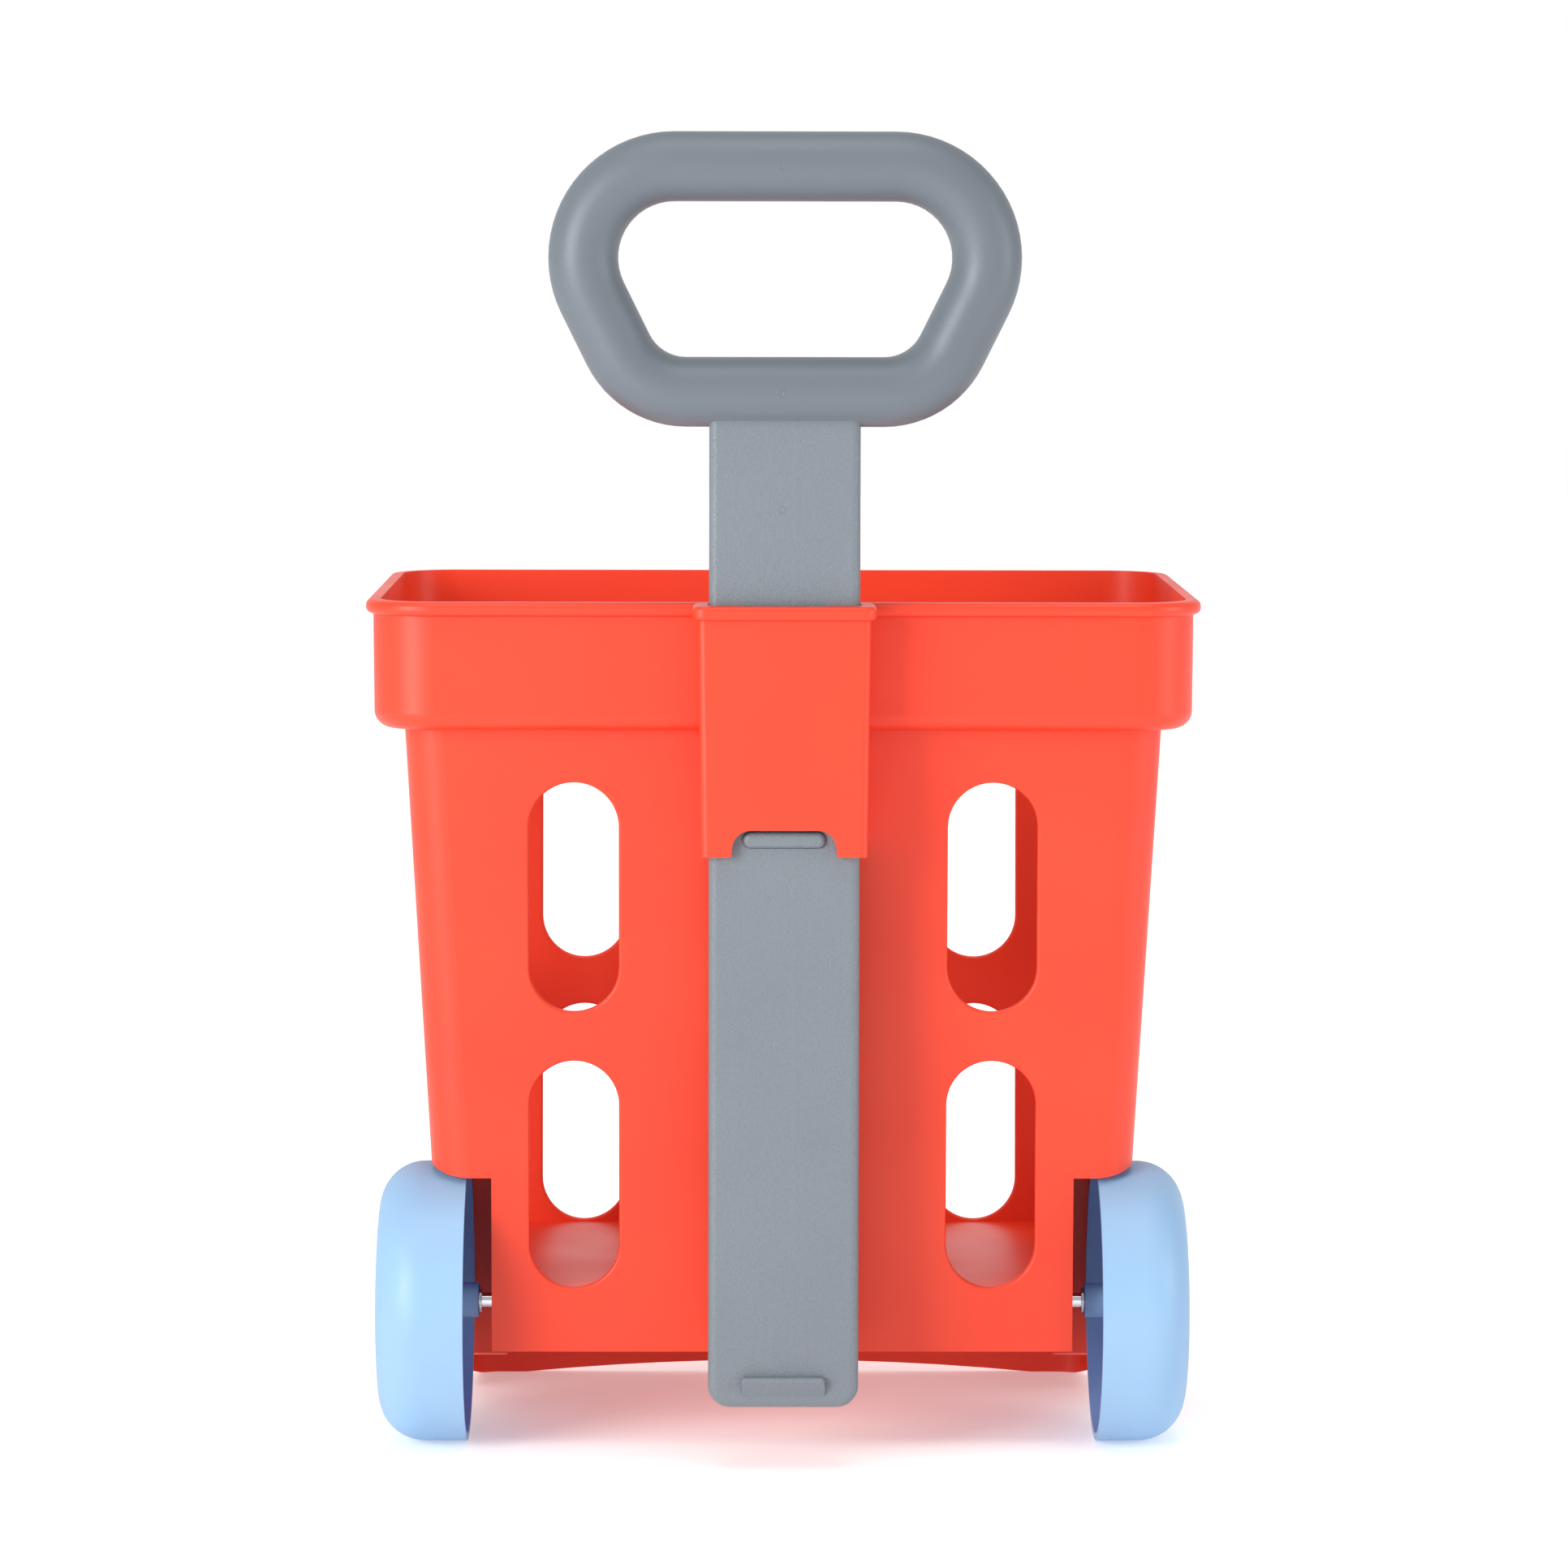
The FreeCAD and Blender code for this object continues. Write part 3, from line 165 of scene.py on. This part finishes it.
def grained_plastic(name):
    """Grey polypropylene: an eroded grain up the post, a satin grip in a darker painted-shade
    grey, weld line and joint.
    """
    material, shader = moulded_plastic(name, GREY, GREY_DEEP, GREY_ROUGHNESS, POST_GRAIN_MM,
                                       POST_GRAIN_DEPTH, GREY_WAVE_MM, GREY_WAVE_DEPTH)
    place = add(material, "TexCoord")
    split = add(material, "SeparateXYZ", Vector=(place, "Object"))
    pits = add(material, "TexNoise", {"Scale": per_metre(POST_GRAIN_MM), "Detail": 2.0},
               Vector=(place, "Object"))
    specks = ramp(material, pits, "Fac", 0.52, 0.66, 0.0, 1.0)
    on_post = ramp(material, split, "Z", GRAIN_TOP - GRAIN_FADE, GRAIN_TOP + GRAIN_FADE,
                   1.0, 0.0)
    grain = add(material, "Math", {"operation": "MULTIPLY"}, i0=(specks, "Result"),
                i1=(on_post, "Result"))
    tone = shader.inputs["Base Color"].links[0].from_node
    # Painted shade: above the grain's end the grip takes a darker grey than the post's tone.
    painted_grip_shade = add(material, "Mix", {"data_type": "RGBA", 6: linear(GRIP_PAINTED_SHADE_GREY)},
                Factor=(on_post, "Result"), i7=(tone, 2))
    material.node_tree.links.new(painted_grip_shade.outputs[2], shader.inputs["Base Color"])
    smooth = shader.inputs["Normal"].links[0].from_node
    pitted = add(material, "Bump", {"Strength": 1.0, "Distance": PIT_DEPTH},
                 Height=(grain, "Value"), Normal=(smooth, "Normal"))
    weld = add(material, "Bump", {"Strength": 0.6, "Distance": WELD_RISE},
               Height=(line_height(material, split, "X", WELD_X, WELD_WIDTH), "Result"),
               Normal=(pitted, "Normal"))
    joint = add(material, "Bump", {"Strength": 1.0, "Distance": JOINT_DEPTH, "invert": True},
                Height=(line_height(material, split, "Y", SHELL_HIGH.y, JOINT_WIDTH), "Result"),
                Normal=(weld, "Normal"))
    material.node_tree.links.new(joint.outputs["Normal"], shader.inputs["Normal"])
    return material


# Polypropylene from a spark-eroded tool: pits scatter the light on the post, so it looks paler
# and duller than the grip, which shows a clean satin highlight and has painted shade in its
# colour.
grey = grained_plastic("blue_grey_polypropylene_grained")
finish_nodes(grey, "handle_back_shell", "handle_front_shell", "catch_button")

# Gate marks: where the plastic entered the mould, it left a low ring around a small pip
# of the same grey plastic. One is on each level bar of the grip and one on the post.
GATE_RADIUS = 0.0016
GATE_RISE = 0.00022
GATE_X = -0.0015
LOW_BAR_Z = 0.3742
POST_GATE_Z = 0.3340


def gate_mark(name, x, y, z, tube_radius=None):
    """A disc of rings and spokes facing -Y: its rise is a ring at 0.7 of the radius plus a
    pip in the middle, each a smooth bump of the distance from the centre; on a tube it
    also bends back by the tube's own roundness. Its rim sinks just under the surface."""
    across = np.linspace(0.0, 1.0, 13)[1:, None]
    turn = np.linspace(0.0, 2 * np.pi, 33)[None, :-1]
    rise = np.exp(-((across - 0.7) / 0.12) ** 2) + 0.8 * np.exp(-(across / 0.22) ** 2)
    rise = GATE_RISE * np.where(across > 0.99, -0.5, rise)
    dx = GATE_RADIUS * across * np.cos(turn)
    dz = GATE_RADIUS * across * np.sin(turn)
    bend = tube_radius - np.sqrt(tube_radius ** 2 - dz ** 2) if tube_radius else 0 * dz
    points = np.stack([x + dx, y + bend - rise, z + dz], axis=-1).reshape(-1, 3)
    rings, spokes = dx.shape
    ring, spoke = np.meshgrid(np.arange(rings - 1), np.arange(spokes), indexing="ij")
    after = (spoke + 1) % spokes
    quads = np.stack([ring * spokes + spoke, (ring + 1) * spokes + spoke,
                      (ring + 1) * spokes + after, ring * spokes + after], axis=-1)
    first = np.arange(spokes)
    middle = np.full(spokes, len(points))
    fan = np.stack([middle, first, (first + 1) % spokes], axis=-1)
    centre = [[x, y - 0.8 * GATE_RISE, z]]
    mesh = bpy.data.meshes.new(name)
    mesh.from_pydata(points.tolist() + centre, [],
                     quads.reshape(-1, 4).tolist() + fan.tolist())
    mesh.polygons.foreach_set("use_smooth", [True] * len(mesh.polygons))
    mesh.update()
    return mesh


GRIP_RADIUS = 0.012
GRIP_BACK = SHELL_LOW.y
HALF_POST = 0.007
POST_BACK = SHELL_HIGH.y - HALF_POST
for mark, height, face, tube in (
        ("grip_top_gate", SHELL_HIGH.z - GRIP_RADIUS, GRIP_BACK, GRIP_RADIUS),
        ("grip_low_gate", LOW_BAR_Z, GRIP_BACK, GRIP_RADIUS),
        ("post_gate", POST_GATE_Z, POST_BACK, None)):
    mark_mesh = gate_mark(mark, GATE_X, face, height, tube)
    piece = bpy.data.objects.new(mark, mark_mesh)
    bpy.context.collection.objects.link(piece)
    mark_mesh.materials.append(grey)
    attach(piece, "handle")

# ---------------------------------------------------------------------------
# Wheels and hub caps. Light blue polypropylene cups, satin inside and out,
# each turning on the axle; each cap snaps into its wheel over the axle's end.
# ---------------------------------------------------------------------------
BLUE = "#A9D2EA"
BLUE_DEEP = "#A3CCE6"
BLUE_THROUGH = "#2E8CF0"   # the light that comes through a 2.6 mm wall is a much deeper blue
THROUGH_SHARE = 0.3
BLUE_ROUGHNESS = 0.4
BLUE_WAVE_MM = 30
BLUE_WAVE_DEPTH = 0.00015

# Light blue polypropylene lets some daylight through its thin wall, so the hollow side
# glows a deep blue while the outside stays pale with a soft highlight.
blue, blue_shader = moulded_plastic(
    "light_blue_polypropylene_satin", BLUE, BLUE_DEEP, BLUE_ROUGHNESS, SATIN_GRAIN_MM,
    SATIN_DEPTH, BLUE_WAVE_MM, BLUE_WAVE_DEPTH)
through = add(blue, "BsdfTranslucent", {"Color": linear(BLUE_THROUGH)})
thin_wall = add(blue, "MixShader", {0: THROUGH_SHARE}, i1=(blue_shader, "BSDF"),
                i2=(through, "BSDF"))
blue_surface = next(node for node in blue.node_tree.nodes if node.type == "OUTPUT_MATERIAL")
blue.node_tree.links.new(thin_wall.outputs["Shader"], blue_surface.inputs["Surface"])
finish_nodes(blue, "left_wheel", "right_wheel", "left_hub_cap", "right_hub_cap")

# ---------------------------------------------------------------------------
# Metal parts. A bright plated steel rod is the axle; its clips, washers and
# push-on nuts and the handle's screws are zinc plated; two folded strips of
# spring steel push the catch out.
# ---------------------------------------------------------------------------
def steel(name, colour, roughness, scratch_mm, scratch_depth, stretch):
    """Bare or plated steel: fine lines drawn out along the axis whose stretch is small."""
    material, output, place = new_material(name)
    lay = add(material, "Mapping", {"Scale": stretch}, Vector=(place, "Object"))
    lines = add(material, "TexNoise", {"Scale": per_metre(scratch_mm), "Detail": 4.0},
                Vector=(lay, "Vector"))
    gloss = add(material, "MapRange", {"From Min": 0.3, "From Max": 0.7,
                                       "To Min": roughness * 0.7, "To Max": roughness * 1.3},
                Value=(lines, "Fac"))
    bump = add(material, "Bump", {"Strength": 1.0, "Distance": scratch_depth},
               Height=(lines, "Fac"))
    shader = add(material, "BsdfPrincipled", {"Metallic": 1.0, "Base Color": linear(colour)},
                 Roughness=(gloss, "Result"), Normal=(bump, "Normal"))
    material.node_tree.links.new(shader.outputs["BSDF"], output.inputs["Surface"])
    return material


# Drawn and plated rod: near mirror, with lines along its length. Zinc: a greyer, softer
# sheen with an even grain. Rolled strip: grey, with lines along the roll.
axle_steel = steel("plated_steel_drawn_rod", "#D9DBDF", 0.12, 0.7, 0.000004, (0.05, 1, 1))
zinc = steel("zinc_plated_steel", "#C2C4C6", 0.3, 0.6, 0.00001, (1, 1, 1))
spring_strip = steel("spring_steel_rolled_strip", "#A9ABAF", 0.28, 0.5, 0.000008, (1, 1, 0.1))
finish_nodes(axle_steel, "axle_rod")
finish_nodes(spring_strip, "left_catch_spring", "right_catch_spring")
finish_nodes(zinc, "handle_screws", *[
    side + part for side in ("left", "right")
    for part in ("_axle_clip", "_hub_clip", "_axle_washer", "_axle_nut")])

# ---------------------------------------------------------------------------
# Studio. A white floor and a lit white screen behind it, a soft key light from the
# left, a weak fill from the right, a light from above, and the camera.
# ---------------------------------------------------------------------------
STUDIO_SIZE = 14
SCREEN_Y = 6.9
FLOOR_GLOW = 0.3
SKY_STRENGTH = 0.62

bpy.ops.mesh.primitive_plane_add(size=STUDIO_SIZE, location=(0, 0, 0))
floor = bpy.context.object
floor.name = "studio_floor"
paint, paint_output, _ = new_material("white_floor_paint")
matt = add(paint, "BsdfPrincipled", {"Base Color": linear("#FCFCFC"), "Roughness": 0.9,
                                    "Emission Color": linear("#FFFFFF"),
                                    "Emission Strength": FLOOR_GLOW})
paint.node_tree.links.new(matt.outputs["BSDF"], paint_output.inputs["Surface"])
floor.data.materials.append(paint)

bpy.ops.mesh.primitive_plane_add(
    size=STUDIO_SIZE, location=(0, SCREEN_Y, 0), rotation=(math.radians(90), 0, 0))
backdrop = bpy.context.object
backdrop.name = "studio_backdrop"
screen, screen_output, _ = new_material("lit_white_screen")
glow = add(screen, "Emission", {"Color": linear("#FFFFFF"), "Strength": 1.0})
screen.node_tree.links.new(glow.outputs["Emission"], screen_output.inputs["Surface"])
backdrop.data.materials.append(screen)

world = bpy.data.worlds.new("studio")
bpy.context.scene.world = world
world.use_nodes = True
sky = world.node_tree.nodes["Background"]
sky.inputs["Color"].default_value = linear("#FFFFFF")
sky.inputs["Strength"].default_value = SKY_STRENGTH


def softbox(name, place, target, size, power):
    """A square area light at place, aimed at target."""
    data = bpy.data.lights.new(name, "AREA")
    data.size = size
    data.energy = power
    light = bpy.data.objects.new(name, data)
    bpy.context.collection.objects.link(light)
    aim = Vector(target) - Vector(place)
    light.location = place
    light.rotation_euler = aim.to_track_quat("-Z", "Y").to_euler()


softbox("key", (-1.7, -1.9, 0.8), (0, 0, 0.22), 1.2, 50)
softbox("fill", (2.3, -0.9, 0.7), (0, 0, 0.2), 1.0, 16)
softbox("top", (0, -0.5, 2.2), (0, 0, 0.2), 1.2, 12)

bpy.context.scene.view_settings.view_transform = "Standard"
camera_data = bpy.data.cameras.new("camera")
camera = bpy.data.objects.new("camera", camera_data)
bpy.context.collection.objects.link(camera)
camera.location = (-0.01930, -2.04792, 0.43296)
camera.rotation_euler = [math.radians(a) for a in (86.5633, -0.1146, -0.5157)]
camera_data.lens = 130.69
camera_data.shift_x = 0.0023
camera_data.shift_y = -0.1413
bpy.context.scene.camera = camera
